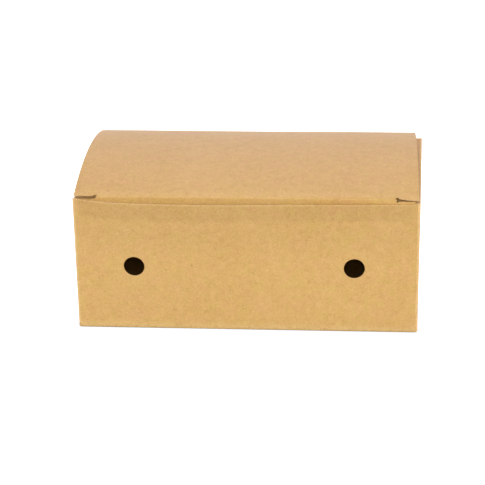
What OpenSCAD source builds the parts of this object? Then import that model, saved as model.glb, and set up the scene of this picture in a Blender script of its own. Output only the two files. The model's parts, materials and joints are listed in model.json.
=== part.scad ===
// Kraft carton folded from one sheet of board, with two vents, dust flaps and a hinged tuck lid

/* [Carton] */
// Outside width, from side wall to side wall
carton_w = 200; // [160:1:240]
// Outside depth, from front wall to back wall
carton_d = 120; // [100:1:150]
// Height of the walls above the table
wall_h = 81; // [65:1:110]
// Thickness of the board
board_t = 0.5; // [0.4:0.05:0.6]
// Outer radius of the upright folds at the corners
corner_r = 1.6; // [1.3:0.1:2.5]
// Outer radius of the folds round the base
base_fold_r = 1.2; // [0.9:0.1:1.3]

/* [Spring of the walls] */
// Reach of the front wall's top edge beyond its fold line at mid width
front_bow = 4.5; // [0:0.25:7]
// Share by which that bow is fuller on the left
bow_skew = 0.95; // [0:0.05:1]
// Power by which the bow grows with height
bow_power = 1.3; // [1:0.1:2]
// Height of the front wall's left top corner above its top edge
rise_left = 1.7; // [0:0.1:2]
// Height of the front wall's right top corner above its top edge
rise_right = 1.3; // [0:0.1:2]
// Length over which the top edge climbs to its left corner
rise_run_left = 22; // [4:1:40]
// Length over which the top edge climbs to its right corner
rise_run_right = 6; // [4:1:40]
// Power by which that climb steepens
rise_power = 1.5; // [1:0.1:3]
// Reach of the right wall's free rear corner beyond its fold line
seam_flare = 3.6; // [0:0.2:5]
// Height at which the right wall begins to stand off the seam
flare_start = 20; // [5:1:40]
// Power by which that stand-off grows with height
flare_power = 1.3; // [1:0.1:2]

/* [Vents] */
// Diameter of each vent
vent_d = 12.2; // [6:0.2:20]
// Distance between the centres of the two vents
vent_pitch = 128; // [60:1:145]
// Offset of the pair of vents to the right of mid width
vent_shift = -1.3; // [-5:0.1:5]
// Height of the vents' centres above the table
vent_z = 41; // [20:1:50]

/* [Lid] */
// Clearance between the lid's side edges and the inner faces of the side walls
lid_side_gap = 0.4; // [0.3:0.1:1.5]
// Height of the lid's arch above the line from its hinge to its front crease
lid_arch = 8; // [3:0.2:12]
// Height of the lid's front crease above the front wall's top edge
crease_lift = 2.75; // [2.5:0.25:4]
// Radius of the lid's front fold at the middle of the board
lid_fold_r = 0.6; // [0.5:0.05:2]
// Reach of the tuck flap below the front crease
tuck_h = 13.5; // [10:0.5:30]
// Radius of the tuck flap's lower corners
tuck_corner_r = 6.5; // [2:0.5:9]
// Setback of the tuck flap's ends from the upright folds
tuck_end_gap = 1.4; // [0.4:0.2:10]
// Clearance between the tuck flap and the inner face of the front wall
tuck_gap = 0.35; // [0.3:0.05:1]
// Length of the slit at each end of the front crease
slit_l = 12.3; // [5:0.1:25]
// Height of the slit, from the front crease down to the top of the tuck flap's ear
slit_h = 1.6; // [1:0.1:3]
// Radius of the round relief at the inner end of each slit
slit_relief_r = 1; // [0.5:0.1:1.5]
// Clearance between the lid's hinge edge and the top of the back wall
hinge_gap = 0.15; // [0.1:0.05:0.3]

/* [Dust flaps] */
// Reach of each dust flap over the opening
dust_l = 55; // [25:1:70]
// Clearance between the flap's front end and the tuck flap
dust_front_gap = 0.6; // [0.4:0.1:6]
// Setback of the flap's rear end from the back wall's outer face
dust_rear_gap = 9.5; // [9:0.5:20]
// Angle at which the flap narrows at each end
dust_taper = 12; // [8:1:25]
// Angle at which the right flap springs up from level
dust_rise_right = 3; // [-3:0.5:3]
// Angle at which the left flap springs up from level, below it when negative
dust_rise_left = -1; // [-3:0.5:3]
// Outer radius of the fold between side wall and flap
dust_fold_r = 1; // [0.8:0.1:1.5]
// Width of the cut that frees the fold from the side wall at each end
dust_slit = 0.2; // [0.1:0.05:0.5]
// Radius of the flap's inner corners
dust_corner_r = 9; // [3:0.5:15]

/* [Seam and base] */
// Width of the glue flap behind the right wall
glue_flap_w = 15; // [8:1:25]
// Thickness of the glue line
glue_t = 0.1; // [0.05:0.05:0.2]
// Setback of the glue flap's ends from the wall's top and bottom
glue_end_gap = 4; // [3:0.5:8]
// Setback of the right wall's free edge from the back wall's outer face
seam_setback = 1; // [0.5:0.25:3]
// Radius of that free edge's top corner
seam_corner_r = 8; // [1:0.5:8]
// Step of the interlocked seam between the front and back base panels
lock_step = 10; // [4:1:20]
// Width of the slanted run in that seam
lock_run = 30; // [10:1:34]
// Half of that seam's whole length
seam_half = 30; // [28:1:45]
// Gap along the seams of the base panels
base_gap = 0.8; // [0.4:0.1:1.5]
// Setback of the base panels' ends from the corner folds
base_end_gap = 0.5; // [0.4:0.1:3]
// Lap of each side base panel past the end of the seam
base_lap = 8; // [3:0.5:10]
// Width of each side base panel at its inner end
base_side_end = 52; // [40:1:70]
// Lap of each lock tongue past the seam
tongue_lap = 7; // [3:0.5:12]

/* [Hidden] */
$fn = 96;
// Facets of the widest arcs
arch_fn = 720;
// Length by which cutting shapes run past the board
over = 10;
// Rings of points up the walls, stations along the front wall and in each corner
wall_rings = 8;
front_stations = 20;
corner_stations = 4;
side_stations = 6;
// Angle between the rings of the base fold
curl_step = 30;
half_w = carton_w / 2;
half_d = carton_d / 2;
// Right end of the back wall, where its fold to the glue flap begins
back_end = half_w - board_t - glue_t - corner_r;
// Hinge axis in the middle of the board, and top of the back wall below it, as [y, z]
hinge = [half_d - board_t / 2, wall_h - board_t / 2];
back_top = wall_h - board_t - hinge_gap;
// Half widths of the lid panel, its front fold and its tuck flap
lid_half = half_w - board_t - lid_side_gap;
fold_half = lid_half - slit_l;
tuck_half = half_w - corner_r - tuck_end_gap;
// The tuck flap lies on an arc round the hinge axis, so it leaves the carton without touching the front wall
tuck_r = hinge.x + half_d - board_t - tuck_gap - board_t / 2;
// Angle of the front crease seen from the hinge, and of the flap's lower edge, measured from level
crease_angle = asin((wall_h + crease_lift - hinge.y) / tuck_r);
tuck_angle = crease_angle - tuck_h / tuck_r * 180 / PI;
crease = hinge + tuck_r * [-cos(crease_angle), sin(crease_angle)];
// Arch of the lid through crease and hinge
chord = norm(crease - hinge);
arch_r = chord * chord / (8 * lid_arch) + lid_arch / 2;
chord_up = [hinge.y - crease.y, crease.x - hinge.x] / -chord;
arch_c = (crease + hinge) / 2 - (arch_r - lid_arch) * chord_up;
// Centre of the front fold, inside both arcs, and where the fold runs into the arch
fold_c = meet(arch_c, arch_r - lid_fold_r, hinge, tuck_r - lid_fold_r);
arch_dir = (fold_c - arch_c) / norm(fold_c - arch_c);
tuck_dir = (fold_c - hinge) / norm(fold_c - hinge);
hinge_dir = (hinge - arch_c) / norm(hinge - arch_c);
// Run of a dust flap along its side wall, from the front wall's outer face
dust_from = board_t + tuck_gap + board_t + dust_front_gap;
dust_to = carton_d - dust_rear_gap;
// Root and half width of the front base panel, and where its seam runs on the right and on the left
base_root = base_fold_r - half_d;
base_half = half_w - corner_r - base_end_gap;
seam_near = -lock_step - base_gap / 2;
seam_far = lock_step - base_gap / 2;
// Direction of the right wall's top edge, turned out from the frame
flare_angle = atan(seam_flare / carton_d);

// Front crossing of two circles, given by centre and radius
function meet(c1, r1, c2, r2) =
    let (
        d = norm(c2 - c1),
        u = (c2 - c1) / d,
        a = (r1 * r1 - r2 * r2 + d * d) / (2 * d)
    )
    c1 + a * u + sqrt(r1 * r1 - a * a) * [-u.y, u.x];

function flat(rows) = [for (row = rows) each row];

// Stand-off of the front wall at x and height z, none in the base fold
function bow(x, z) =
    let (u = x / half_w, rise = max(0, (z - base_fold_r) / (wall_h - base_fold_r)))
    front_bow * pow(rise, bow_power) * (1 - u * u) * (1 - bow_skew * u);

// Share of the right wall's stand-off at height z
function flare(z) = pow(max(0, (z - flare_start) / (wall_h - flare_start)), flare_power);

// Height of the front wall's top edge at x above the other walls
function edge_rise(x) =
    let (left = max(0, 1 - (half_w + x) / rise_run_left), right = max(0, 1 - (half_w - x) / rise_run_right))
    rise_left * pow(left, rise_power) + rise_right * pow(right, rise_power);

// A station on the outline is [x, y, outward normal x, normal y, share of the flare, rise of the top edge]
function corner(cx, cy, from, rise) = [
    for (i = [1 : corner_stations - 1])
        let (a = from - 90 * i / corner_stations)
        [cx + corner_r * cos(a), cy + corner_r * sin(a), cos(a), sin(a), 0, rise]
];

// Rise at the two front folds
left_rise = edge_rise(corner_r - half_w);
right_rise = edge_rise(half_w - corner_r);
right_wall = [
    for (i = [0 : side_stations])
        let (share = 1 - i / side_stations)
        let (y = (half_d - seam_setback) * share + (corner_r - half_d) * (1 - share))
        [half_w, y, 1, 0, (y + half_d) / carton_d, i < side_stations ? 0 : right_rise]
];
// Stations lie closer together towards the corners
front_wall = [
    for (i = [0 : front_stations])
        let (x = (half_w - corner_r) * cos(180 * i / front_stations))
        [x, -half_d, 0, -1, 0, edge_rise(x)]
];
left_wall = [
    for (y = [corner_r - half_d, 0, half_d - corner_r])
        [-half_w, y, -1, 0, 0, y < 0 ? left_rise : 0]
];
back_wall = [for (x = [corner_r - half_w, back_end]) [x, half_d, 0, 1, 0, 0]];
outline = concat(
    right_wall,
    corner(half_w - corner_r, corner_r - half_d, 0, right_rise),
    front_wall,
    corner(corner_r - half_w, corner_r - half_d, -90, left_rise),
    left_wall,
    corner(corner_r - half_w, half_d - corner_r, -180, 0),
    back_wall
);

// A ring up the walls is [outer inset, outer z, inner inset, inner z, share of the top edge's rise]
inner_curl_r = base_fold_r - board_t;
rings = concat(
    [
        for (a = [90 : -curl_step : 0]) [
            base_fold_r * (1 - cos(a)),
            base_fold_r * (1 - sin(a)),
            base_fold_r - inner_curl_r * cos(a),
            base_fold_r - inner_curl_r * sin(a),
            0
        ]
    ],
    [
        for (i = [1 : wall_rings])
            let (z = base_fold_r + (wall_h - base_fold_r) * i / wall_rings)
            [0, z, board_t, z, i < wall_rings ? 0 : 1]
    ]
);

// Point of the wall at a station, an inset from the outline, a height and a share of the top edge's rise
function wall_point(s, inset, z, share) =
    let (x = s[0] - inset * s[2], y = s[1] - inset * s[3])
    [x + seam_flare * s[4] * flare(z), y - (y < 0 ? bow(x, z) : 0), z + share * s[5]];

// Closed sheet between an outer and an inner grid of points
module sheet(outer, inner) {
    rows = len(outer);
    cols = len(outer[0]);
    top = rows - 1;
    last = cols - 1;
    function o(r, c) = r * cols + c;
    function i(r, c) = rows * cols + r * cols + c;
    cells = [for (r = [0 : top - 1], c = [0 : last - 1]) [r, c]];
    skins = [
        for (k = cells) each [
            [o(k.x, k.y), o(k.x, k.y + 1), o(k.x + 1, k.y + 1)],
            [o(k.x, k.y), o(k.x + 1, k.y + 1), o(k.x + 1, k.y)],
            [i(k.x, k.y), i(k.x + 1, k.y + 1), i(k.x, k.y + 1)],
            [i(k.x, k.y), i(k.x + 1, k.y), i(k.x + 1, k.y + 1)]
        ]
    ];
    long_rims = [
        for (c = [0 : last - 1]) each [
            [o(0, c + 1), o(0, c), i(0, c), i(0, c + 1)],
            [o(top, c), o(top, c + 1), i(top, c + 1), i(top, c)]
        ]
    ];
    short_rims = [
        for (r = [0 : top - 1]) each [
            [o(r, 0), o(r + 1, 0), i(r + 1, 0), i(r, 0)],
            [o(r + 1, last), o(r, last), i(r, last), i(r + 1, last)]
        ]
    ];
    polyhedron(concat(flat(outer), flat(inner)), concat(skins, long_rims, short_rims), convexity = 8);
}

// Four walls in one strip, curled in at the base, from the right wall's free edge to the back wall's end
module walls() {
    sheet(
        [for (r = rings) [for (s = outline) wall_point(s, r[0], r[1], r[4])]],
        [for (r = rings) [for (s = outline) wall_point(s, r[2], r[3], r[4])]]
    );
}

// Fold at the rear right corner and the glue flap behind the right wall
module glue_flap() {
    translate([back_end, half_d - corner_r, base_fold_r])
        linear_extrude(wall_h - base_fold_r)
            intersection() {
                difference() {
                    circle(corner_r);
                    circle(corner_r - board_t);
                }
                square(corner_r + over);
            }
    // The flap's free end is cut back at 45 degrees
    reach = glue_flap_w - corner_r;
    low = base_fold_r + glue_end_gap;
    high = wall_h - glue_end_gap;
    translate([back_end + corner_r - board_t, half_d - corner_r, 0])
        rotate([90, 0, 90])
            linear_extrude(board_t)
                polygon([[0, low], [0, high], [-reach, high - reach], [-reach, low + reach]]);
}

// Frame of a side wall's top edge: +X inward, +Y to the rear, origin at the front
module side_frame(right) {
    if (right)
        translate([half_w, -half_d, wall_h])
            rotate([0, 0, -flare_angle])
                mirror([1, 0, 0])
                    children();
    else
        translate([-half_w, -half_d, wall_h])
            children();
}

// Room for the fold, cut from the top of a side wall a little past both ends of the flap
module dust_fold_cut() {
    translate([-over, dust_from - dust_slit, -dust_fold_r])
        cube([over + 2 * dust_fold_r, dust_to - dust_from + 2 * dust_slit, dust_fold_r + over]);
}

// Area inside a fold of radius r and under the flap that leaves it at an angle, as [x, z]
module dust_field(r, rise) {
    circle(r);
    rotate(rise)
        translate([0, -over])
            square([dust_l, over + r]);
}

// Plan of a dust flap, from its fold to its rounded inner corners
module dust_outline() {
    end = dust_l - dust_fold_r - dust_corner_r;
    narrow = (dust_l - dust_fold_r) * tan(dust_taper) + dust_corner_r;
    hull() {
        translate([-over, dust_from])
            square([over, dust_to - dust_from]);
        translate([end, dust_from + narrow])
            circle(dust_corner_r);
        translate([end, dust_to - narrow])
            circle(dust_corner_r);
    }
}

// Fold at the top of a side wall and the dust flap that reaches in from it, turned up by an angle
module dust_flap(rise) {
    translate([dust_fold_r, 0, -dust_fold_r])
        intersection() {
            translate([0, dust_to + over, 0])
                rotate([90, 0, 0])
                    linear_extrude(dust_to - dust_from + 2 * over)
                        difference() {
                            dust_field(dust_fold_r, rise);
                            dust_field(dust_fold_r - board_t, rise);
                            translate([-over, -over])
                                square([over + dust_fold_r, over]);
                        }
            translate([0, 0, -over])
                linear_extrude(2 * over)
                    dust_outline();
        }
}

// Front base panel, narrowed to its half of the interlocked seam
module base_panel() {
    linear_extrude(board_t)
        polygon([
            [-base_half, base_root],
            [base_half, base_root],
            [seam_half, seam_near],
            [lock_run / 2, seam_near],
            [-lock_run / 2, seam_far],
            [-seam_half, seam_far]
        ]);
}

// Tongue of the front base panel that laps over the back panel and locks it
module lock_tongue() {
    start = -base_gap / 2;
    end = base_lap + base_gap - seam_half;
    translate([0, 0, board_t])
        linear_extrude(board_t)
            polygon([
                [start, -tongue_lap],
                [start, tongue_lap],
                [-lock_run / 2, seam_far + tongue_lap],
                [end, seam_far + tongue_lap],
                [end, seam_far - tongue_lap],
                [-lock_run / 2, seam_far - tongue_lap]
            ]);
}

// Right base panel, glued on the front and back panels
module base_side() {
    root = half_w - inner_curl_r;
    end = seam_half - base_lap;
    wide = half_d - corner_r - base_end_gap;
    narrow = base_side_end / 2;
    translate([0, 0, board_t])
        linear_extrude(board_t)
            polygon([[root, -wide], [root, wide], [end, narrow], [end, -narrow]]);
}

// Round vents through the front wall
module vents() {
    for (side = [-1, 1])
        translate([side * vent_pitch / 2 + vent_shift, over - half_d, vent_z])
            rotate([90, 0, 0])
                cylinder(d = vent_d, h = 2 * over + front_bow);
}

// Strip that lowers the back wall to its hinge crease
module hinge_cut() {
    translate([-half_w - over, half_d - corner_r, back_top])
        cube([over + half_w + back_end + corner_r + glue_t / 2, over, over]);
}

// Round taken off the top corner of the right wall's free edge
module seam_corner_cut() {
    edge = half_d - seam_setback;
    translate([half_w - board_t - glue_t / 2, edge - seam_corner_r, wall_h - seam_corner_r])
        rotate([90, 0, 90])
            linear_extrude(over)
                difference() {
                    square(seam_corner_r + over);
                    circle(seam_corner_r);
                }
}

module carton_body() {
    color("#dab06c") {
        difference() {
            union() {
                difference() {
                    walls();
                    seam_corner_cut();
                }
                glue_flap();
            }
            vents();
            hinge_cut();
            for (right = [false, true])
                side_frame(right)
                    dust_fold_cut();
        }
        for (right = [false, true])
            side_frame(right)
                dust_flap(right ? dust_rise_right : dust_rise_left);
        for (turn = [0, 180])
            rotate(turn) {
                base_panel();
                lock_tongue();
                base_side();
            }
    }
}

// Area under the lid's face that lies g above the middle of the board
module lid_field(g) {
    far = carton_d;
    difference() {
        intersection() {
            translate(arch_c)
                circle(arch_r + g, $fn = arch_fn);
            translate(hinge)
                circle(tuck_r + g, $fn = arch_fn);
        }
        translate(fold_c)
            polygon([[0, 0], far * arch_dir, far * (arch_dir + tuck_dir), far * tuck_dir]);
    }
    translate(fold_c)
        circle(lid_fold_r + g);
}

// Section of the whole lid across its width, as [y, z]
module lid_section() {
    difference() {
        lid_field(board_t / 2);
        lid_field(-board_t / 2);
    }
}

// Section of the lid panel, from its rounded hinge edge to the start of the front fold
module panel_section() {
    far = carton_d;
    intersection() {
        lid_section();
        polygon([fold_c, fold_c + far * arch_dir, hinge + far * hinge_dir, hinge]);
    }
    translate(hinge)
        circle(board_t / 2);
}

// Section of the front fold and the tuck flap below it
module tuck_section() {
    far = 2 * carton_d;
    down = [-cos(tuck_angle), sin(tuck_angle)];
    intersection() {
        lid_section();
        polygon([
            hinge,
            fold_c,
            fold_c + far * arch_dir,
            fold_c + far * (arch_dir + tuck_dir),
            hinge + far * down
        ]);
    }
}

// Front outline of the tuck flap as [x, z]: ears below the slits and rounded lower corners
module tuck_outline() {
    low = hinge.y + tuck_r * sin(tuck_angle);
    ear_top = wall_h + crease_lift - slit_h;
    hull()
        for (side = [-1, 1]) {
            translate([side * (tuck_half - tuck_corner_r), low + tuck_corner_r])
                circle(tuck_corner_r);
            translate([side * (tuck_half - tuck_corner_r) - tuck_corner_r, low + tuck_corner_r])
                square([2 * tuck_corner_r, ear_top - low - tuck_corner_r]);
        }
    translate([-fold_half, low + tuck_corner_r])
        square([2 * fold_half, tuck_h + over]);
}

// Extrusion across the width from a section given as [y, z]
module across(half) {
    translate([-half, 0, 0])
        rotate([90, 0, 90])
            linear_extrude(2 * half)
                children();
}

module lid() {
    color("#dcb380")
        difference() {
            union() {
                across(lid_half)
                    panel_section();
                intersection() {
                    across(tuck_half)
                        tuck_section();
                    translate([0, over, 0])
                        rotate([90, 0, 0])
                            linear_extrude(carton_d)
                                tuck_outline();
                }
            }
            // Round reliefs where the slits end
            for (side = [-1, 1])
                translate([side * fold_half, fold_c.x, wall_h + crease_lift - slit_h])
                    cylinder(r = slit_relief_r, h = 2 * over);
        }
}

carton_body();
lid();
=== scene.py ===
"""Looks of the kraft carton: board finer than the CAD solids, kraft materials, floor, light and camera."""

import json
import math
from typing import NamedTuple

import bmesh
import bpy
import numpy as np
from mathutils import Matrix, Vector

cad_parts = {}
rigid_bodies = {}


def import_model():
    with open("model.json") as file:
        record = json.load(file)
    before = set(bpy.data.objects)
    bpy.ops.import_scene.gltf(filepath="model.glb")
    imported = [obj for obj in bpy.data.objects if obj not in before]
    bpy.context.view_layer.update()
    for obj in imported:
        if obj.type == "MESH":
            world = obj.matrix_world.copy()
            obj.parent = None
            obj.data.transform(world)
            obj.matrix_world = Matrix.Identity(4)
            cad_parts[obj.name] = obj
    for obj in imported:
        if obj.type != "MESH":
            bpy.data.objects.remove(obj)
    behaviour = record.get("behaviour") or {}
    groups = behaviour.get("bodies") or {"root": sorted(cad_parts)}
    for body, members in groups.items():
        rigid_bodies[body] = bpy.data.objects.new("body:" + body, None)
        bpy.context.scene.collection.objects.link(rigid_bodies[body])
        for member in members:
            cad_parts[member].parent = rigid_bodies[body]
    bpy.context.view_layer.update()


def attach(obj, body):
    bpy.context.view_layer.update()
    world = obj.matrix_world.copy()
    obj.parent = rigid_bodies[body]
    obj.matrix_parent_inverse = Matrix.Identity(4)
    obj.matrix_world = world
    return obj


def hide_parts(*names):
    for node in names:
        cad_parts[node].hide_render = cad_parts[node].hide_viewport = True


MM = 0.001

# Sizes of the carton as in the CAD source, in millimetres and degrees
CARTON_W = 200.0
CARTON_D = 120.0
WALL_H = 81.0
BOARD_T = 0.5
CORNER_R = 1.6
BASE_FOLD_R = 1.2
FRONT_BOW = 4.5
BOW_SKEW = 0.95
BOW_POWER = 1.3
RISE_LEFT = 1.7
RISE_RIGHT = 1.3
RISE_RUN_LEFT = 22.0
RISE_RUN_RIGHT = 6.0
RISE_POWER = 1.5
SEAM_FLARE = 3.6
FLARE_START = 20.0
FLARE_POWER = 1.3
VENT_D = 12.2
VENT_PITCH = 128.0
VENT_SHIFT = -1.3
VENT_Z = 41.0
LID_SIDE_GAP = 0.4
LID_ARCH = 8.0
CREASE_LIFT = 2.75
LID_FOLD_R = 0.6
TUCK_H = 13.5
TUCK_CORNER_R = 6.5
TUCK_END_GAP = 1.4
TUCK_GAP = 0.35
SLIT_L = 12.3
SLIT_H = 1.6
SLIT_RELIEF_R = 1.0
DUST_L = 55.0
DUST_FRONT_GAP = 0.6
DUST_REAR_GAP = 9.5
DUST_TAPER = 12.0
DUST_RISE_RIGHT = 3.0
DUST_RISE_LEFT = -1.0
DUST_FOLD_R = 1.0
DUST_CORNER_R = 9.0
GLUE_FLAP_W = 15.0
GLUE_T = 0.1
GLUE_END_GAP = 4.0
SEAM_SETBACK = 1.0
SEAM_CORNER_R = 8.0
LOCK_STEP = 10.0
LOCK_RUN = 30.0
SEAM_HALF = 30.0
BASE_GAP = 0.8
BASE_END_GAP = 0.5
BASE_LAP = 8.0
BASE_SIDE_END = 52.0
TONGUE_LAP = 7.0

# Values that follow from them
HALF_W = CARTON_W / 2
HALF_D = CARTON_D / 2
BACK_END = HALF_W - BOARD_T - GLUE_T - CORNER_R
HINGE = np.array([HALF_D - BOARD_T / 2, WALL_H - BOARD_T / 2])
LID_HALF = HALF_W - BOARD_T - LID_SIDE_GAP
FOLD_HALF = LID_HALF - SLIT_L
TUCK_HALF = HALF_W - CORNER_R - TUCK_END_GAP
TUCK_R = HINGE[0] + HALF_D - BOARD_T - TUCK_GAP - BOARD_T / 2
EAR_TOP = WALL_H + CREASE_LIFT - SLIT_H
DUST_FROM = 2 * BOARD_T + TUCK_GAP + DUST_FRONT_GAP
DUST_TO = CARTON_D - DUST_REAR_GAP
DUST_TOP = WALL_H - DUST_FOLD_R
INNER_CURL_R = BASE_FOLD_R - BOARD_T

# Looks only: width of the strip of points beside a fold, at the walls' foot, beside a flap, at the cut edge
CREASE_W = 0.8
FOOT_W = 1.36
STEP_W = 0.05
RIM_W = 0.9
# Looks only: counts of points round folds, along walls and flaps, up the walls and across the lid
CORNER_STEPS = 8
CURL_POINTS = 7
SEAM_POINTS = 9
REAR_POINTS = 4
FRONT_POINTS = 130
BACK_POINTS = 60
GLUE_POINTS = 12
WALL_POINTS = 44
DUST_POINTS = 45
DUST_FOLD_POINTS = 7
DUST_PLAIN_POINTS = 16
DUST_END_POINTS = 10
HINGE_TURN_POINTS = 25
HINGE_POINTS = 40
ARCH_POINTS = 50
ROLL_POINTS = 20
FOLD_POINTS = 9
TUCK_POINTS = 22
LID_POINTS = 90
EAR_POINTS = 9
# Looks only: lengths and sides of the tools that cut round holes, and the angle that makes an edge sharp
VENT_TOOL_L = 30.0
RELIEF_TOOL_L = 20.0
TOOL_SIDES = 64
SHARP_ANGLE = 35.0
# Looks only: radius and worn tone of the hinge crease
HINGE_CREASE_R = 0.3
HINGE_TONE = 0.3
# Looks only: how the lid's front rolls down, and the painted highlight on it, which fades between shares of
# the run
ROLL_DROP = 0.4
ROLL_RUN = 6.0
ROLL_HIGHLIGHT = 0.4
ROLL_HIGHLIGHT_FADE = (0.3, 1.2)
# Looks only: tone of the front fold, partly wear and partly painted highlight, and painted light on the
# tuck flap, fading down the flap and to the right
FOLD_WEAR_AND_HIGHLIGHT = 0.42
TUCK_PAINTED_LIGHT = 0.8
TUCK_LIGHT_FADE = (0.15, 0.45)
RIGHT_LIGHT_FADE = (0.15, 0.55)
# Looks only: twist of the lid, and bulge of its right half, full at a share of the depth from the hinge
TWIST = -0.35
BULGE_RIGHT = 0.45
BULGE_RUN = 0.008
BULGE_SPREAD = (-0.1, 0.6)
# Looks only: droop of the lid's front right corner, full at a share of the slit, and drop of the left ear
DROOP_RIGHT = 1.2
DROOP_RUN = 0.8
DROOP_POWER = 4
EAR_DROP_LEFT = 0.9
# Looks only: lift of the front wall's edge, fading between shares of half its width
EDGE_LIFT = 0.4
LIFT_FADE_LEFT = (0.85, 1.0)
LIFT_FADE_RIGHT = (0.1, 0.6)
# Looks only: curl and sag of the seam's top corner
SEAM_CURL = 0.8
SEAM_CURL_RUN = 12.0
SEAM_SAG = 0.6
# Looks only: band above the base fold, lighter partly from wear and partly as a painted highlight
BASE_WEAR_AND_HIGHLIGHT = 1.0
BASE_HIGHLIGHT_RUN = 4.5
# Looks only: painted shade on the front wall where the tuck flap is behind it: where it fades past the
# flap's side, where it comes in at the flap's lower edge, and where a share of it comes in below
PAINTED_SHADE_SIDE = (-1.5, 1.0)
PAINTED_SHADE_EDGE = (-2.0, 1.5)
PAINTED_SHADE_BELOW = (-27.0, -8.0)
PAINTED_SHADE_BELOW_SHARE = 0.45

# Camera found from the photograph: place in metres, angles in degrees, lens in millimetres
CAMERA_PLACE = (0.06934, -0.98763, 0.46235)
CAMERA_PITCH = 23.574
CAMERA_YAW = -4.391
CAMERA_ROLL = -0.932
CAMERA_LENS = 130.5
SENSOR_W = 36.0

# Studio: colours of the light
COOL = (1.01, 0.98, 1.15)
BLUE = (1.02, 0.98, 1.32)
PALE = (1.06, 0.98, 0.94)
WARM = (1.0, 1.02, 0.83)
# Studio: white floor, with half its width in metres and its height in millimetres
FLOOR_HALF = 8.0
FLOOR_Z = -0.2
FLOOR_WHITE = (0.86, 0.86, 0.86, 1.0)
FLOOR_GLOW = 1.12
FLOOR_ROUGH = 0.9
# Studio: dark patch under the carton, with its reach past the base and its height in millimetres
CONTACT_REACH = 1.5
CONTACT_Z = -0.1
CONTACT_GREY = (0.1, 0.1, 0.1, 1.0)
# Studio: strength of the dome above and below a soft edge, which is given by the height of a direction
DOME_ABOVE = 0.30
DOME_BELOW = 0.58
DOME_EDGE = (-0.15, 0.05)
# Studio: softboxes as name, azimuth, elevation, size in metres, power in watts and colour
SOFTBOX_AWAY = 2.0
LIT_POINT = (0.0, 0.0, 0.05)
SOFTBOXES = (
    ("front_softbox", 0, 30, 1.0, 25, WARM),
    ("back_softbox", 190, 15, 1.2, 4, PALE),
    ("high_softbox", 180, 50, 1.2, 10, BLUE),
    ("right_softbox", 90, 15, 1.2, 20, COOL),
    ("left_softbox", -90, 15, 1.2, 12, COOL),
)


def smooth(low, high, value):
    """Smooth step from 0 at low to 1 at high."""
    t = np.clip((value - low) / (high - low), 0, 1)
    return t * t * (3 - 2 * t)


def bow(x, z):
    """Stand-off of the front wall at x and height z."""
    u = x / HALF_W
    rise = np.clip((z - BASE_FOLD_R) / (WALL_H - BASE_FOLD_R), 0, None)
    return FRONT_BOW * rise**BOW_POWER * (1 - u * u) * (1 - BOW_SKEW * u)


def edge_rise(x):
    """Height of the front wall's top edge at x above the other walls."""
    left = max(0.0, 1 - (HALF_W + x) / RISE_RUN_LEFT)
    right = max(0.0, 1 - (HALF_W - x) / RISE_RUN_RIGHT)
    return RISE_LEFT * left**RISE_POWER + RISE_RIGHT * right**RISE_POWER


def flare(z):
    """Share of the right wall's stand-off at height z."""
    rise = np.clip((z - FLARE_START) / (WALL_H - FLARE_START), 0, None)
    return rise**FLARE_POWER


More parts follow.
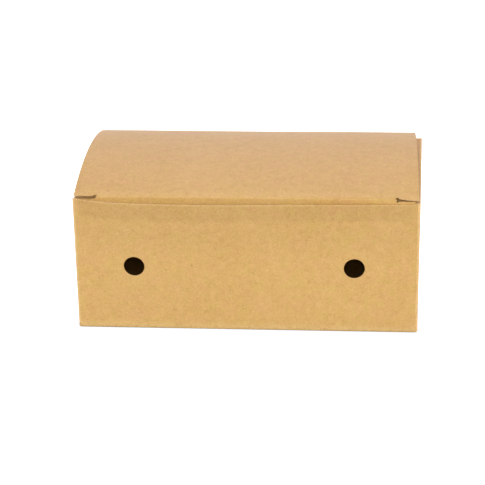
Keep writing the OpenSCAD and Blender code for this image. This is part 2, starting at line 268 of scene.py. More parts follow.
class Board:
    """Points and faces of folded board.

    Each point has a crease value for wear and painted highlight, a value of painted shade and an inside
    value, each face a cut flag.
    """

    def __init__(self):
        self.points = []
        self.values = {"crease": [], "painted_shade": [], "inside": []}
        self.faces = []
        self.cut = []

    def add_points(self, points, crease=0.0, painted_shade=0.0, inside=0.0):
        first = len(self.points)
        self.points.extend(points)
        for name, value in (("crease", crease), ("painted_shade", painted_shade), ("inside", inside)):
            self.values[name].extend(np.broadcast_to(value, len(points)))
        return first

    def add_face(self, corners, cut):
        self.faces.append(corners)
        self.cut.append(cut)

    def add_sheet(self, outer, inner, keep, crease, painted_shade=None):
        """Sheet between two grids of points, made of the cells that are kept, with cut faces round them."""
        rows, cols = outer.shape[:2]
        if painted_shade is None:
            painted_shade = np.zeros((rows, cols))
        first = self.add_points(outer.reshape(-1, 3), crease.ravel(), painted_shade.ravel())
        far = self.add_points(inner.reshape(-1, 3), crease.ravel(), inside=1.0) - first
        index = first + np.arange(rows * cols).reshape(rows, cols)
        framed = np.zeros((rows + 1, cols + 1), bool)
        framed[1:-1, 1:-1] = keep
        for r, c in zip(*np.nonzero(keep)):
            a, b = int(index[r, c]), int(index[r, c + 1])
            d, e = int(index[r + 1, c]), int(index[r + 1, c + 1])
            self.add_face((a, b, e, d), False)
            self.add_face((a + far, d + far, e + far, b + far), False)
            sides = (
                (a, b, framed[r, c + 1]),
                (e, d, framed[r + 2, c + 1]),
                (d, a, framed[r + 1, c]),
                (b, e, framed[r + 1, c + 2]),
            )
            for p, q, joined in sides:
                if not joined:
                    self.add_face((q, p, p + far, q + far), True)

    def add_plate(self, outline, low, high):
        """Flat plate with an outline in X and Y."""
        n = len(outline)
        first = self.add_points([(x, y, low) for x, y in outline])
        self.add_points([(x, y, high) for x, y in outline], inside=1.0)
        self.add_face(tuple(first + n - 1 - i for i in range(n)), False)
        self.add_face(tuple(first + n + i for i in range(n)), False)
        for i in range(n):
            j = (i + 1) % n
            self.add_face((first + i, first + j, first + n + j, first + n + i), True)

    def build(self, name, materials):
        """Mesh object of the board, in metres, smooth within its faces."""
        mesh = bpy.data.meshes.new(name)
        mesh.from_pydata([[v * MM for v in p] for p in self.points], [], self.faces)
        for material in materials:
            mesh.materials.append(material)
        mesh.polygons.foreach_set("material_index", np.array(self.cut, np.int32))
        for attribute, values in self.values.items():
            layer = mesh.attributes.new(attribute, "FLOAT", "POINT")
            layer.data.foreach_set("value", np.array(values, np.float32))
        tidy = bmesh.new()
        tidy.from_mesh(mesh)
        loose = [v for v in tidy.verts if not v.link_faces]
        bmesh.ops.delete(tidy, geom=loose, context="VERTS")
        bmesh.ops.recalc_face_normals(tidy, faces=tidy.faces)
        tidy.to_mesh(mesh)
        tidy.free()
        obj = bpy.data.objects.new(name, mesh)
        bpy.context.scene.collection.objects.link(obj)
        return obj


def shade(obj):
    """Smooth faces with hard cut edges."""
    obj.data.shade_smooth()
    obj.data.set_sharp_from_angle(angle=math.radians(SHARP_ANGLE))


def round_tool(centres, radius, length, axis, materials):
    """Cylinders along an axis that leave the cut edge's material where they cut."""
    turn = Vector((0, 0, 1)).rotation_difference(Vector(axis)).to_matrix().to_4x4()
    holes = bmesh.new()
    for centre in centres:
        bmesh.ops.create_cone(
            holes,
            cap_ends=True,
            segments=TOOL_SIDES,
            radius1=radius * MM,
            radius2=radius * MM,
            depth=length * MM,
            matrix=Matrix.Translation(Vector(centre) * MM) @ turn,
        )
    for face in holes.faces:
        face.material_index = 1
    mesh = bpy.data.meshes.new("holes")
    holes.to_mesh(mesh)
    holes.free()
    for material in materials:
        mesh.materials.append(material)
    tool = bpy.data.objects.new("holes", mesh)
    bpy.context.scene.collection.objects.link(tool)
    return tool


def cut_round(obj, centres, radius, length, axis):
    """Round holes through a board, with cut faces inside."""
    tool = round_tool(centres, radius, length, axis, obj.data.materials)
    cut = obj.modifiers.new("holes", "BOOLEAN")
    cut.operation = "DIFFERENCE"
    cut.solver = "EXACT"
    cut.object = tool
    graph = bpy.context.evaluated_depsgraph_get()
    made = bpy.data.meshes.new_from_object(obj.evaluated_get(graph))
    obj.modifiers.remove(cut)
    old = obj.data
    holes = tool.data
    made.name = old.name
    obj.data = made
    bpy.data.meshes.remove(old)
    bpy.data.objects.remove(tool)
    bpy.data.meshes.remove(holes)


class Station(NamedTuple):
    """Place on the walls' outline.

    It has an outward normal, a share of the seam's flare, a low and a high end, the flap that hangs on it,
    whether it is on the glue flap, and a tone that is partly wear and partly painted highlight.
    """

    x: float
    y: float
    nx: float
    ny: float
    share: float = 0.0
    low: float = BASE_FOLD_R
    high: float = WALL_H
    flap: str = ""
    glue: bool = False
    crease: float = 0.0


def corner_stations(cx, cy, start, high, glue=False):
    """Stations in an upright fold that turns by a quarter, between its ends."""
    found = []
    for i in range(1, CORNER_STEPS):
        a = math.radians(start - 90 * i / CORNER_STEPS)
        x = cx + CORNER_R * math.cos(a)
        y = cy + CORNER_R * math.sin(a)
        # Corner folds get the full tone: wear and painted highlight
        found.append(Station(x, y, math.cos(a), math.sin(a), high=high, glue=glue, crease=1.0))
    return found


def right_stations():
    """Right wall, from its free rear edge to the front fold."""
    edge = HALF_D - SEAM_SETBACK
    dust = DUST_TO - HALF_D
    front = DUST_FROM - HALF_D
    spots = []
    for a in np.radians(np.linspace(90, 0, SEAM_POINTS)):
        y = edge - SEAM_CORNER_R * (1 - math.sin(a))
        spots.append((y, WALL_H - SEAM_SAG - SEAM_CORNER_R * (1 - math.cos(a)), ""))
    for y in np.linspace(edge - SEAM_CORNER_R, dust + STEP_W, REAR_POINTS)[1:]:
        spots.append((y, WALL_H - SEAM_SAG * float(smooth(dust, edge - SEAM_CORNER_R, y)), ""))
    spots += [(y, DUST_TOP, "right") for y in np.linspace(dust, front, DUST_POINTS)]
    high = WALL_H + edge_rise(HALF_W - CORNER_R)
    spots += [(front - STEP_W, high, ""), (CORNER_R - HALF_D, high, "")]
    return [
        Station(HALF_W, y, 1, 0, (y + HALF_D) / CARTON_D, high=high, flap=flap)
        for y, high, flap in spots
    ]


def left_stations():
    """Left wall, from the front fold to the rear fold."""
    dust = DUST_TO - HALF_D
    front = DUST_FROM - HALF_D
    rear = HALF_D - CORNER_R
    high = WALL_H + edge_rise(CORNER_R - HALF_W)
    spots = [(-rear, high, ""), (front - STEP_W, high, "")]
    spots += [(y, DUST_TOP, "left") for y in np.linspace(front, dust, DUST_POINTS)]
    spots += [(y, WALL_H, "") for y in (dust + STEP_W, rear - CREASE_W, rear)]
    return [Station(-HALF_W, y, -1, 0, high=high, flap=flap) for y, high, flap in spots]


def front_stations():
    """Front wall, from right to left."""
    end = HALF_W - CORNER_R
    middle = np.linspace(end - CREASE_W, CREASE_W - end, FRONT_POINTS)
    found = []
    for x in (end, *middle, -end):
        fade = (1 - smooth(*LIFT_FADE_LEFT, -x / end)) * (1 - smooth(*LIFT_FADE_RIGHT, x / end))
        lift = EDGE_LIFT * float(fade)
        found.append(Station(x, -HALF_D, 0, -1, high=WALL_H + edge_rise(x) + lift))
    return found


def back_stations():
    """Back wall up to the hinge, then the fold and the glue flap behind the right wall."""
    first = CORNER_R - HALF_W
    middle = np.linspace(first + CREASE_W, BACK_END - CREASE_W, BACK_POINTS)
    found = [Station(x, HALF_D, 0, 1, high=HINGE[1]) for x in (first, *middle, BACK_END)]
    root = HALF_D - CORNER_R
    found += corner_stations(BACK_END, root, 90, HINGE[1], True)
    x = BACK_END + CORNER_R
    found.append(Station(x, root, 1, 0, high=HINGE[1], glue=True, crease=1.0))
    for reach in np.linspace(STEP_W, GLUE_FLAP_W - CORNER_R, GLUE_POINTS):
        low = BASE_FOLD_R + GLUE_END_GAP + reach
        high = WALL_H - GLUE_END_GAP - reach
        found.append(Station(x, root - reach, 1, 0, low=low, high=high, glue=True))
    return found


def wall_stations():
    """The whole outline as one strip."""
    x = HALF_W - CORNER_R
    y = HALF_D - CORNER_R
    found = right_stations()
    found += corner_stations(x, -y, 0, WALL_H + edge_rise(x))
    found += front_stations()
    found += corner_stations(-x, -y, -90, WALL_H + edge_rise(-x))
    found += left_stations()
    found += corner_stations(-x, y, -180, HINGE[1])
    found += back_stations()
    return found


def seam_curl(s, z):
    """How far the free rear edge of the right wall curls in at its top."""
    if s.share == 0.0:
        return 0.0
    edge = HALF_D - SEAM_SETBACK
    rear = smooth(edge - SEAM_CURL_RUN, edge, s.y)
    top = smooth(WALL_H - SEAM_CURL_RUN, WALL_H, z)
    return SEAM_CURL * float(rear * top)


def wall_point(s, inset, z):
    """Point of the wall at a station, an inset from the outline and a height."""
    x = s.x - inset * s.nx
    y = s.y - inset * s.ny
    if y < 0:
        y -= bow(x, z)
    return x + SEAM_FLARE * s.share * flare(z) - seam_curl(s, z), y, z


def dust_edge(p):
    """How far a dust flap's end has drawn in at a distance p from its fold."""
    end = DUST_L - DUST_FOLD_R - DUST_CORNER_R
    narrow = (DUST_L - DUST_FOLD_R) * math.tan(math.radians(DUST_TAPER)) + DUST_CORNER_R
    reach = math.hypot(end, narrow)
    slope = math.atan2(narrow, end) - math.asin(DUST_CORNER_R / reach)
    tangent = math.sqrt(reach**2 - DUST_CORNER_R**2) * math.cos(slope)
    if p < tangent:
        return p * math.tan(slope)
    return narrow - math.sqrt(max(0.0, DUST_CORNER_R**2 - (p - end) ** 2))


def dust_rows():
    """Rows of a dust flap as (turn of the fold in shares, distance from the fold)."""
    length = DUST_L - DUST_FOLD_R
    start = length - DUST_CORNER_R
    arc = [(t, 0.0) for t in np.linspace(0, 1, DUST_FOLD_POINTS)[1:]]
    plain = [(1.0, p) for p in (CREASE_W, *np.linspace(0, start, DUST_PLAIN_POINTS)[1:])]
    turns = np.linspace(0, math.pi / 2, DUST_END_POINTS)[1:]
    end = [(1.0, length - DUST_CORNER_R * (1 - math.sin(a))) for a in turns]
    return arc + plain + end


def dust_point(s, turn, p, depth):
    """Point of a dust flap that hangs on a station of a side wall, at a depth in the board."""
    right = s.flap == "right"
    rise = math.radians(DUST_RISE_RIGHT if right else DUST_RISE_LEFT)
    a = math.pi + (math.pi / 2 + rise - math.pi) * turn
    r = DUST_FOLD_R - depth
    inward = DUST_FOLD_R + r * math.cos(a) + p * math.cos(rise)
    up = r * math.sin(a) - DUST_FOLD_R + p * math.sin(rise)
    share = (s.y + HALF_D - DUST_FROM) / (DUST_TO - DUST_FROM)
    edge = dust_edge(p)
    along = DUST_FROM + edge + share * (DUST_TO - DUST_FROM - 2 * edge)
    z = WALL_H + up
    if not right:
        return inward - HALF_W, along - HALF_D, z
    lean = math.atan(SEAM_FLARE / CARTON_D)
    x = HALF_W - inward * math.cos(lean) + along * math.sin(lean)
    return x, inward * math.sin(lean) + along * math.cos(lean) - HALF_D, z


def painted_shade_share(s, z):
    """Share of painted shade on the front wall where the tuck flap is behind it, at a station and a height.
    """
    if s.ny != -1:
        return 0.0
    over_end = max(0.0, abs(s.x) - (TUCK_HALF - TUCK_CORNER_R))
    rise = TUCK_CORNER_R - math.sqrt(max(0.0, TUCK_CORNER_R**2 - over_end**2))
    low = WALL_H + CREASE_LIFT - TUCK_H + rise
    ends = 1 - smooth(*PAINTED_SHADE_SIDE, abs(s.x) - TUCK_HALF)
    band = smooth(*PAINTED_SHADE_EDGE, z - low)
    below = PAINTED_SHADE_BELOW_SHARE * smooth(*PAINTED_SHADE_BELOW, z - low)
    return float(max(band * ends, below))


class Spot(NamedTuple):
    """Point of a sheet on its outer and inner face, with its wear and painted highlight and its painted
    shade.
    """

    outer: tuple
    inner: tuple
    crease: float
    painted_shade: float = 0.0


def curl_spots(s):
    """Spots at a station round the base fold, up to the foot of the wall."""
    found = []
    for a in np.radians(np.linspace(90, 0, CURL_POINTS))[:-1]:
        out, up = math.cos(a), math.sin(a)
        outer = wall_point(s, BASE_FOLD_R * (1 - out), BASE_FOLD_R * (1 - up))
        inner = wall_point(s, BASE_FOLD_R - INNER_CURL_R * out, BASE_FOLD_R - INNER_CURL_R * up)
        found.append(Spot(outer, inner, BASE_WEAR_AND_HIGHLIGHT))
    return found


def wall_spots(s):
    """Spots at a station up the wall, closer together at its foot and its cut edge."""
    wall = WALL_H - BASE_FOLD_R
    foot = [0.0, CREASE_W / wall, FOOT_W / wall]
    found = []
    for t in (*foot, *np.linspace(0, 1, WALL_POINTS)[1:-1], 1 - RIM_W / wall, 1.0):
        z = s.low + (s.high - s.low) * t
        # Wear and painted highlight above the base fold, on the corner folds and along the cut edge
        wear_and_highlight = BASE_WEAR_AND_HIGHLIGHT * (1 - float(smooth(0.0, BASE_HIGHLIGHT_RUN, z - BASE_FOLD_R)))
        tone = 1.0 if t == 1 else max(wear_and_highlight, s.crease)
        found.append(Spot(wall_point(s, 0, z), wall_point(s, BOARD_T, z), tone, painted_shade_share(s, z)))
    return found


def flap_spots(s, last):
    """Spots at a station along its dust flap, or the wall's last spot again where there is none."""
    found = []
    for turn, p in dust_rows():
        if s.flap:
            # The dust flap's fold is lighter: wear and painted highlight
            tone = 1.0 if p == 0 else 0.0
            found.append(Spot(dust_point(s, turn, p, 0), dust_point(s, turn, p, BOARD_T), tone))
        else:
            found.append(last)
    return found


def make_walls(materials):
    """Walls, dust flaps and glue flap as one strip of board."""
    stations = wall_stations()
    columns = []
    for s in stations:
        wall = wall_spots(s)
        columns.append(curl_spots(s) + wall + flap_spots(s, wall[-1]))
    foot = CURL_POINTS - 1
    top = len(columns[0]) - len(dust_rows()) - 1
    keep = np.ones((len(columns[0]) - 1, len(stations) - 1), bool)
    for c, (s, n) in enumerate(zip(stations, stations[1:])):
        if n.glue:
            keep[:foot, c] = False
        if not (s.flap and s.flap == n.flap):
            keep[top:, c] = False
    rows = list(zip(*columns))
    outer = np.array([[spot.outer for spot in row] for row in rows])
    inner = np.array([[spot.inner for spot in row] for row in rows])
    crease = np.array([[spot.crease for spot in row] for row in rows])
    painted_shade = np.array([[spot.painted_shade for spot in row] for row in rows])
    board = Board()
    board.add_sheet(outer, inner, keep, crease, painted_shade)
    walls = board.build("carton_walls", materials)
    centres = [(VENT_SHIFT + side * VENT_PITCH / 2, -HALF_D, VENT_Z) for side in (-1, 1)]
    cut_round(walls, centres, VENT_D / 2, VENT_TOOL_L, (0, 1, 0))
    shade(walls)
    return walls


def turned(outline):
    """Outline turned by half a turn about the middle of the base."""
    return [(-x, -y) for x, y in outline]


def make_base(materials):
    """Two interlocked base panels, their lock tongues and the two side panels on them."""
    root = BASE_FOLD_R - HALF_D
    half = HALF_W - CORNER_R - BASE_END_GAP
    near = -LOCK_STEP - BASE_GAP / 2
    far = LOCK_STEP - BASE_GAP / 2
    panel = [
        (-half, root),
        (half, root),
        (SEAM_HALF, near),
        (LOCK_RUN / 2, near),
        (-LOCK_RUN / 2, far),
        (-SEAM_HALF, far),
    ]
    start = -BASE_GAP / 2
    end = BASE_LAP + BASE_GAP - SEAM_HALF
    tongue = [
        (start, -TONGUE_LAP),
        (start, TONGUE_LAP),
        (-LOCK_RUN / 2, far + TONGUE_LAP),
        (end, far + TONGUE_LAP),
        (end, far - TONGUE_LAP),
        (-LOCK_RUN / 2, far - TONGUE_LAP),
    ]
    side_root = HALF_W - INNER_CURL_R
    side_end = SEAM_HALF - BASE_LAP
    wide = HALF_D - CORNER_R - BASE_END_GAP
    narrow = BASE_SIDE_END / 2
    side = [(side_root, -wide), (side_root, wide), (side_end, narrow), (side_end, -narrow)]
    board = Board()
    for outline, low in ((panel, 0.0), (tongue, BOARD_T), (side, BOARD_T)):
        board.add_plate(outline, low, low + BOARD_T)
        board.add_plate(turned(outline), low, low + BOARD_T)
    base = board.build("carton_base", materials)
    shade(base)
    return base


def make_hinge_crease(materials):
    """Rounded crease along the top of the back wall, on the axis that the lid turns on."""
    turns = np.linspace(0, 2 * math.pi, HINGE_TURN_POINTS)
    ends = np.linspace(CORNER_R - HALF_W, LID_HALF - HINGE_CREASE_R, HINGE_POINTS)
    board = Board()
    points = []
    for x in ends:
        for a in turns[:-1]:
            y = HINGE[0] + HINGE_CREASE_R * math.cos(a)
            points.append((x, y, HINGE[1] + HINGE_CREASE_R * math.sin(a)))
    first = board.add_points(points, crease=HINGE_TONE)
    n = len(turns) - 1
    for i in range(len(ends) - 1):
        for k in range(n):
            a = first + i * n + k
            b = first + i * n + (k + 1) % n
            board.add_face((a, b, b + n, a + n), False)
    last = first + (len(ends) - 1) * n
    board.add_face(tuple(range(first, first + n)), True)
    board.add_face(tuple(range(last, last + n)), True)
    crease = board.build("hinge_crease", materials)
    shade(crease)
    return crease


def meet(c1, r1, c2, r2):
    """Front crossing of two circles, given by centre and radius."""
    d = np.linalg.norm(c2 - c1)
    u = (c2 - c1) / d
    a = (r1 * r1 - r2 * r2 + d * d) / (2 * d)
    return c1 + a * u + math.sqrt(r1 * r1 - a * a) * np.array([-u[1], u[0]])


class LidRow(NamedTuple):
    """Row of points across the lid: middle of the board, outward normal, reach to the sides, tone of wear
    and painted light.
    """

    y: float
    z: float
    ny: float
    nz: float
    reach: float
    crease: float


def lid_row(centre, radius, angle, reach, tone):
    """Row of the lid at an angle on an arc of its section."""
    ny, nz = math.cos(angle), math.sin(angle)
    return LidRow(centre[0] + radius * ny, centre[1] + radius * nz, ny, nz, reach, tone)


def direction(start, end):
    """Angle of the way from one point of the section to another, from 0 to a full turn."""
    way = end - start
    return math.atan2(way[1], way[0]) % (2 * math.pi)


def lid_arcs():
    """Centre and radius of the lid's arch, and centre of its front fold."""
    angle = math.asin((WALL_H + CREASE_LIFT - HINGE[1]) / TUCK_R)
    crease = HINGE + TUCK_R * np.array([-math.cos(angle), math.sin(angle)])
    chord = np.linalg.norm(crease - HINGE)
    arch_r = chord**2 / (8 * LID_ARCH) + LID_ARCH / 2
    chord_up = np.array([HINGE[1] - crease[1], crease[0] - HINGE[0]]) / -chord
    arch_c = (crease + HINGE) / 2 - (arch_r - LID_ARCH) * chord_up
    fold_c = meet(arch_c, arch_r - LID_FOLD_R, HINGE, TUCK_R - LID_FOLD_R)
    return arch_c, arch_r, fold_c


def roll_height(away, length):
    """Height that the lid panel gains behind its rolled front, at a distance from it."""
    if away < ROLL_RUN:
        return ROLL_DROP * (1 - (1 - away / ROLL_RUN) ** 2)
    return ROLL_DROP * (length - away) / (length - ROLL_RUN)


def panel_rows():
    """Rows of the lid panel, from the hinge to the front fold, closer together in the rolled front."""
    arch_c, arch_r, fold_c = lid_arcs()
    start = direction(arch_c, HINGE)
    end = direction(arch_c, fold_c)
    step = CREASE_W / arch_r
    front = end - 2 * ROLL_RUN / arch_r
    rows = [lid_row(arch_c, arch_r, start, LID_HALF, HINGE_TONE)]
    arch = np.linspace(start + step, front, ARCH_POINTS)
    rolled = np.linspace(front, end - step / 2, ROLL_POINTS)[1:]
    for angle in (*arch, *rolled):
        away = (end - angle) * arch_r
        # Painted highlight on the lid's rolled front, fading away from the fold
        tone = ROLL_HIGHLIGHT * (1 - float(smooth(*ROLL_HIGHLIGHT_FADE, away / ROLL_RUN)))
        radius = arch_r + roll_height(away, (end - start) * arch_r)
        rows.append(lid_row(arch_c, radius, angle, LID_HALF, tone))
    return rows


def fold_rows():
    """Rows of the front fold and the one below it, where the ears of the tuck flap start."""
    arch_c, _, fold_c = lid_arcs()
    turns = np.linspace(direction(arch_c, fold_c), direction(HINGE, fold_c), FOLD_POINTS)
    # The front fold gets wear and painted highlight; the row below blends it with the tuck flap's painted
    # light
    rows = [lid_row(fold_c, LID_FOLD_R, angle, FOLD_HALF, FOLD_WEAR_AND_HIGHLIGHT) for angle in turns]
    ear = math.pi - math.asin((EAR_TOP - HINGE[1]) / TUCK_R)
    rows.append(lid_row(HINGE, TUCK_R, ear, FOLD_HALF, (FOLD_WEAR_AND_HIGHLIGHT + TUCK_PAINTED_LIGHT) / 2))
    return rows


def tuck_rows():
    """Rows of the tuck flap, from its ears to its lower edge."""
    ear = math.asin((EAR_TOP - HINGE[1]) / TUCK_R)
    end = math.asin((WALL_H + CREASE_LIFT - HINGE[1]) / TUCK_R) - TUCK_H / TUCK_R
    rows = []
    for t in np.sin(np.linspace(0, math.pi / 2, TUCK_POINTS)[1:]):
        # Painted light on the tuck flap, strongest at its top, fading down it
        tone = TUCK_PAINTED_LIGHT * (1 - float(smooth(*TUCK_LIGHT_FADE, t)))
        rows.append(lid_row(HINGE, TUCK_R, math.pi - ear - (end - ear) * t, TUCK_HALF, tone))
    return rows


def lid_sag(row, xs):
    """How far the twist and the bulge bring a row of the lid below its section, at each x."""
    away = (HINGE[0] - row.y) / CARTON_D
    across = xs / LID_HALF
    bulge = BULGE_RIGHT * float(smooth(0.0, BULGE_RUN, away)) * (1 - away)
    return TWIST * away * across - bulge * smooth(*BULGE_SPREAD, across)


def corner_droop(row, xs):
    """How far the lid's front right corner hangs down in a row, at each x."""
    away = (HINGE[0] - row.y) / CARTON_D
    return DROOP_RIGHT * away**DROOP_POWER * smooth(FOLD_HALF, FOLD_HALF + DROOP_RUN * SLIT_L, xs)


def lid_columns():
    """Places of the lid's points across it, closer together in the ears."""
    ears = np.linspace(FOLD_HALF, TUCK_HALF, EAR_POINTS)[1:]
    middle = np.linspace(-FOLD_HALF, FOLD_HALF, LID_POINTS)
    return np.array([-LID_HALF, *-ears[::-1], *middle, *ears, LID_HALF])


def lid_grids(rows, xs, fold_row, ear_row):
    """Outer points, inner points and tones of wear and painted light of the lid, row by row."""
    outer = np.zeros((len(rows), len(xs), 3))
    inner = np.zeros_like(outer)
    crease = np.zeros(outer.shape[:2])
    low = rows[-1].z
    for r, row in enumerate(rows):
        drop = max(0.0, low + TUCK_CORNER_R - row.z)
        draw = TUCK_CORNER_R - math.sqrt(max(0.0, TUCK_CORNER_R**2 - drop**2))
        sag = lid_sag(row, xs)
        if r <= fold_row:
            sag = sag + corner_droop(row, xs)
        elif r >= ear_row:
            sag = sag + EAR_DROP_LEFT * smooth(FOLD_HALF, TUCK_HALF, -xs)
        for side, grid in ((0.5, outer), (-0.5, inner)):
            grid[r, :, 0] = xs * (1 - draw / TUCK_HALF)
            grid[r, :, 1] = row.y + side * BOARD_T * row.ny
            grid[r, :, 2] = row.z + side * BOARD_T * row.nz - sag
        crease[r] = row.crease
        # The painted light on the fold and the tuck flap fades out to the right
        if r >= fold_row:
            crease[r] *= 1 - smooth(*RIGHT_LIGHT_FADE, xs / LID_HALF)
    return outer, inner, crease


def make_lid(materials):
    """Lid panel, front fold and tuck flap with its ears, as one sheet."""
    panel = panel_rows()
    fold = fold_rows()
    rows = panel + fold + tuck_rows()
    fold_row = len(panel)
    ear_row = len(panel) + len(fold) - 1
    xs = lid_columns()
    outer, inner, crease = lid_grids(rows, xs, fold_row, ear_row)
    centres = np.abs(xs[1:] + xs[:-1]) / 2
    keep = np.array([centres < row.reach for row in rows[1:]])
    # The panel keeps its full width up to the first row of the fold
    keep[fold_row - 1] = True
    board = Board()
    board.add_sheet(outer, inner, keep, crease)
    lid = board.build("lid_board", materials)
    _, _, fold_c = lid_arcs()
    reliefs = [(side * FOLD_HALF, fold_c[0], EAR_TOP + RELIEF_TOOL_L / 2) for side in (-1, 1)]
    cut_round(lid, reliefs, SLIT_RELIEF_R, RELIEF_TOOL_L, (0, 0, 1))
    shade(lid)
    return lid


class Nodes:
    """Short calls for building a node tree."""

    def __init__(self, tree):
        self.tree = tree
        tree.nodes.clear()

    def add(self, kind, inputs=None, **settings):
        node = self.tree.nodes.new("ShaderNode" + kind)
        for key, value in settings.items():
            setattr(node, key, value)
        for key, value in (inputs or {}).items():
            self.set(node, key, value)
        return node

    def set(self, node, key, value):
        if isinstance(value, bpy.types.NodeSocket):
            self.tree.links.new(value, node.inputs[key])
        else:
            node.inputs[key].default_value = value

    def noise(self, place, scale, detail, distortion=0.0, roughness=0.5):
        inputs = {
            "Vector": place,
            "Scale": scale,
            "Detail": detail,
            "Distortion": distortion,
            "Roughness": roughness,
        }
        return self.add("TexNoise", inputs).outputs["Fac"]

    def value(self, attribute):
        return self.add("Attribute", attribute_name=attribute).outputs["Fac"]

    def math(self, operation, a, b):
        return self.add("Math", {0: a, 1: b}, operation=operation).outputs[0]

    def total(self, *parts):
        """Sum of values, each times its share."""
        found, *others = [self.math("MULTIPLY", value, share) for value, share in parts]
        for other in others:
            found = self.math("ADD", found, other)
        return found

    def mix(self, factor, a, b, blend="MIX"):
        node = self.add("Mix", {"Factor": factor, 6: a, 7: b}, data_type="RGBA", blend_type=blend)
        return node.outputs[2]

    def ramp(self, factor, stops):
        node = self.add("ValToRGB", {"Fac": factor})
        points = node.color_ramp.elements
        while len(points) < len(stops):
            points.new(0.5)
        for point, (place, colour) in zip(points, stops):
            point.position = place
            point.color = colour
        return node.outputs["Color"]


def linear(r, g, b):
    """Linear colour from 8-bit sRGB."""
    values = [v / 255 for v in (r, g, b)]
    return (*[v / 12.92 if v <= 0.04045 else ((v + 0.055) / 1.055) ** 2.4 for v in values], 1.0)


def grey(value):
    """Opaque grey."""
    return value, value, value, 1.0


# Noise in the board as scale and detail, then distortion and roughness where they aren't the usual ones
CLOUD = (22.0, 3.0)
MOTTLE = (240.0, 4.0)
GRAIN = (1500.0, 3.0)
FIBRE = (560.0, 3.0, 2.0)
HUE = (110.0, 6.0, 0.0, 0.85)
CUT_FUZZ = (2600.0, 4.0, 1.0)
CUT_PATCH = (300.0, 2.0)

# Ramps from a value to a colour
KRAFT_RAMP = ((0.35, linear(198, 152, 82)), (0.50, linear(214, 170, 99)), (0.67, linear(226, 185, 118)))
HUE_RAMP = ((0.35, (1.015, 0.955, 1.08, 1.0)), (0.65, (0.985, 1.035, 0.92, 1.0)))
WEAR_AND_HIGHLIGHT_RAMP = ((0.35, grey(0.2)), (0.65, grey(0.8)))
FLECK_NEAR = ((0.06, grey(1.0)), (0.11, grey(0.0)))
FLECK_RARE = ((0.80, grey(0.0)), (0.86, grey(1.0)))
CUT_RAMP = ((0.35, linear(212, 170, 110)), (0.65, linear(238, 204, 148)))

# Tones of the board: paler where worn and where highlights are painted, painted shade over the tuck flap,
# darker inside, and flecked
KRAFT_WEAR_AND_HIGHLIGHT = linear(232, 194, 132)
TUCK_PAINTED_SHADE = linear(238, 237, 236)
INSIDE_SHADE = linear(236, 234, 226)
KRAFT_FLECK = linear(150, 104, 58)
FLECK_SCALE = 130.0
FLECK_SHARE = 0.5

# Surface of the board and of its cut edge, with the depth of the relief in metres
KRAFT_ROUGH = (0.55, 0.72)
KRAFT_RELIEF = {"Strength": 0.22, "Distance": 0.00025}
KRAFT_SKIN = {"IOR": 1.5, "Sheen Weight": 0.08, "Sheen Roughness": 0.4}
CUT_RELIEF = {"Strength": 0.35, "Distance": 0.0002}
CUT_SKIN = {"IOR": 1.4, "Roughness": 0.9}


def new_material(name):
    """Empty material and its node tree."""
    material = bpy.data.materials.new(name)
    material.use_nodes = True
    return material, Nodes(material.node_tree)


def kraft_colour(n, tone, fibre, hue):
    """Colour of the board: ramps of tone and hue, painted shade, darker inside, paler for wear and painted
    highlights.
    """
    colour = n.ramp(tone, KRAFT_RAMP)
    colour = n.mix(1.0, colour, n.ramp(hue, HUE_RAMP), "MULTIPLY")
    # Painted shade on the front wall over the tuck flap
    colour = n.mix(n.value("painted_shade"), colour, TUCK_PAINTED_SHADE, "MULTIPLY")
    colour = n.mix(n.value("inside"), colour, INSIDE_SHADE, "MULTIPLY")
    # Paler creases: wear and painted highlight
    wear_and_highlight = n.math("MULTIPLY", n.value("crease"), n.ramp(fibre, WEAR_AND_HIGHLIGHT_RAMP))
    return n.mix(wear_and_highlight, colour, KRAFT_WEAR_AND_HIGHLIGHT)


def add_flecks(n, place, colour):
    """Colour with a few dark flecks in it."""
    cell = n.add("TexVoronoi", {"Vector": place, "Scale": FLECK_SCALE}, feature="F1")
    near = n.ramp(cell.outputs["Distance"], FLECK_NEAR)
    rare = n.ramp(cell.outputs["Color"], FLECK_RARE)
    fleck = n.math("MULTIPLY", n.math("MULTIPLY", near, rare), FLECK_SHARE)
    return n.mix(fleck, colour, KRAFT_FLECK)


def kraft_material():
    """Unbleached kraft board: clouded tone, mottle, fibres, a few dark flecks, creases worn and painted
    lighter.
    """
    material, n = new_material("kraft_board")
    place = n.add("TexCoord").outputs["Object"]
    cloud, mottle, grain, fibre, hue = (n.noise(place, *kind) for kind in (CLOUD, MOTTLE, GRAIN, FIBRE, HUE))
    tone = n.total((cloud, 0.12), (mottle, 0.20), (fibre, 0.48), (grain, 0.20))
    colour = add_flecks(n, place, kraft_colour(n, tone, fibre, hue))
    low, high = KRAFT_ROUGH
    rough = n.add("MapRange", {"Value": fibre, "To Min": low, "To Max": high}).outputs[0]
    height = n.total((fibre, 0.7), (grain, 0.3), (mottle, 0.6))
    bump = n.add("Bump", {**KRAFT_RELIEF, "Height": height}).outputs["Normal"]
    skin = n.add("BsdfPrincipled", {**KRAFT_SKIN, "Base Color": colour, "Roughness": rough, "Normal": bump})
    n.add("OutputMaterial", {"Surface": skin.outputs[0]})
    return material


def cut_material():
    """Cut edge of the board: paler open fibres in thin layers."""
    material, n = new_material("kraft_cut_edge")
    place = n.add("TexCoord").outputs["Object"]
    fuzz, patch = (n.noise(place, *kind) for kind in (CUT_FUZZ, CUT_PATCH))
    colour = n.ramp(n.total((fuzz, 0.6), (patch, 0.4)), CUT_RAMP)
    bump = n.add("Bump", {**CUT_RELIEF, "Height": fuzz}).outputs["Normal"]
    skin = n.add("BsdfPrincipled", {**CUT_SKIN, "Base Color": colour, "Normal": bump})
    n.add("OutputMaterial", {"Surface": skin.outputs[0]})
    return material


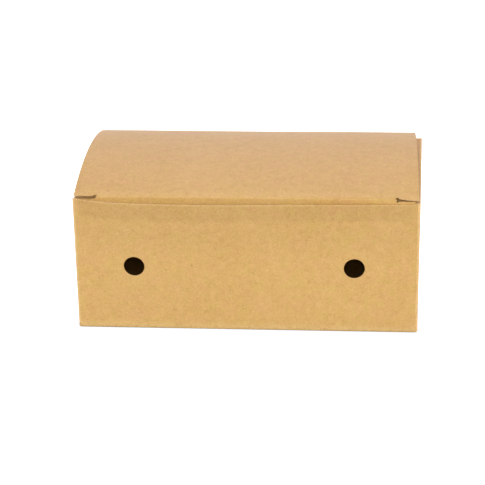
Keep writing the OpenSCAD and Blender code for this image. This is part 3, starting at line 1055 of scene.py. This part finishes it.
def floor_material(name, colour, glow):
    """Plain table top with a glow of its own."""
    material, n = new_material(name)
    light = {"Emission Color": colour, "Emission Strength": glow}
    skin = n.add("BsdfPrincipled", {"Base Color": colour, "Roughness": FLOOR_ROUGH, **light})
    n.add("OutputMaterial", {"Surface": skin.outputs[0]})
    return material


def add_table(name, half_w, half_d, z, material):
    """Level rectangle that the carton stands on."""
    corners = [(-half_w, -half_d, z), (half_w, -half_d, z), (half_w, half_d, z), (-half_w, half_d, z)]
    mesh = bpy.data.meshes.new(name)
    mesh.from_pydata(corners, [], [(0, 1, 2, 3)])
    mesh.materials.append(material)
    table = bpy.data.objects.new(name, mesh)
    bpy.context.scene.collection.objects.link(table)
    return table


def add_floor():
    """Large table that sheds no soft light on the carton, and a dark patch, unseen, that shades its foot."""
    pale = floor_material("floor", FLOOR_WHITE, FLOOR_GLOW)
    floor = add_table("floor", FLOOR_HALF, FLOOR_HALF, FLOOR_Z * MM, pale)
    floor.visible_diffuse = False
    dark = floor_material("floor_contact", CONTACT_GREY, 0.0)
    half_w = (HALF_W + CONTACT_REACH) * MM
    half_d = (HALF_D + CONTACT_REACH) * MM
    contact = add_table("floor_contact", half_w, half_d, CONTACT_Z * MM, dark)
    contact.visible_camera = False


def add_area(name, place, size, power, colour):
    """Soft square light that faces the carton."""
    data = bpy.data.lights.new(name, "AREA")
    data.size = size
    data.energy = power
    data.color = colour
    lamp = bpy.data.objects.new(name, data)
    lamp.location = place
    lamp.rotation_mode = "QUATERNION"
    lamp.rotation_quaternion = (Vector(LIT_POINT) - Vector(place)).to_track_quat("-Z", "Y")
    bpy.context.scene.collection.objects.link(lamp)


def place_at(azimuth, elevation, distance):
    """Point round the carton, with azimuth 0 in front and 90 on the right."""
    a, e = math.radians(azimuth), math.radians(elevation)
    level = distance * math.cos(e)
    return level * math.sin(a), -level * math.cos(a), distance * math.sin(e)


def add_light():
    """Soft dome that the camera sees as plain white, and softboxes round the carton."""
    world = bpy.data.worlds.new("studio")
    world.use_nodes = True
    n = Nodes(world.node_tree)
    way = n.add("TexCoord").outputs["Generated"]
    up = n.add("SeparateXYZ", {"Vector": way}).outputs["Z"]
    low, high = DOME_EDGE
    span = {"Value": up, "From Min": low, "From Max": high, "To Min": DOME_BELOW, "To Max": DOME_ABOVE}
    strength = n.add("MapRange", span).outputs[0]
    dome = n.add("Background", {"Color": (*COOL, 1.0), "Strength": strength})
    plain = n.add("Background", {"Color": (1.0, 1.0, 1.0, 1.0)})
    seen = n.add("LightPath").outputs["Is Camera Ray"]
    sky = n.add("MixShader", {0: seen, 1: dome.outputs[0], 2: plain.outputs[0]})
    n.add("OutputWorld", {"Surface": sky.outputs[0]})
    bpy.context.scene.world = world
    for name, azimuth, elevation, size, power, colour in SOFTBOXES:
        add_area(name, place_at(azimuth, elevation, SOFTBOX_AWAY), size, power, colour)


def add_camera():
    """Camera at the photograph's place."""
    pitch, yaw, roll = (math.radians(a) for a in (CAMERA_PITCH, CAMERA_YAW, CAMERA_ROLL))
    ahead = Vector((math.sin(yaw) * math.cos(pitch), math.cos(yaw) * math.cos(pitch), -math.sin(pitch)))
    right = Vector((math.cos(yaw), -math.sin(yaw), 0))
    up = right.cross(ahead)
    level_right = right * math.cos(roll) + up * math.sin(roll)
    level_up = up * math.cos(roll) - right * math.sin(roll)
    data = bpy.data.cameras.new("camera")
    data.sensor_width = SENSOR_W
    data.lens = CAMERA_LENS
    camera = bpy.data.objects.new("camera", data)
    turn = Matrix((level_right, level_up, -ahead)).transposed()
    camera.matrix_world = Matrix.Translation(CAMERA_PLACE) @ turn.to_4x4()
    bpy.context.scene.collection.objects.link(camera)
    bpy.context.scene.camera = camera


def make_carton():
    """Every piece of the carton on its CAD body."""
    materials = [kraft_material(), cut_material()]
    walls = make_walls(materials)
    base = make_base(materials)
    crease = make_hinge_crease(materials)
    lid = make_lid(materials)
    for piece in (walls, base, crease):
        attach(piece, "carton")
    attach(lid, "lid")
    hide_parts("carton_body")
    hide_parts("lid")


for leftover in list(bpy.data.objects):
    bpy.data.objects.remove(leftover)
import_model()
bpy.context.scene.view_settings.view_transform = "Standard"
add_camera()
add_light()
add_floor()
make_carton()
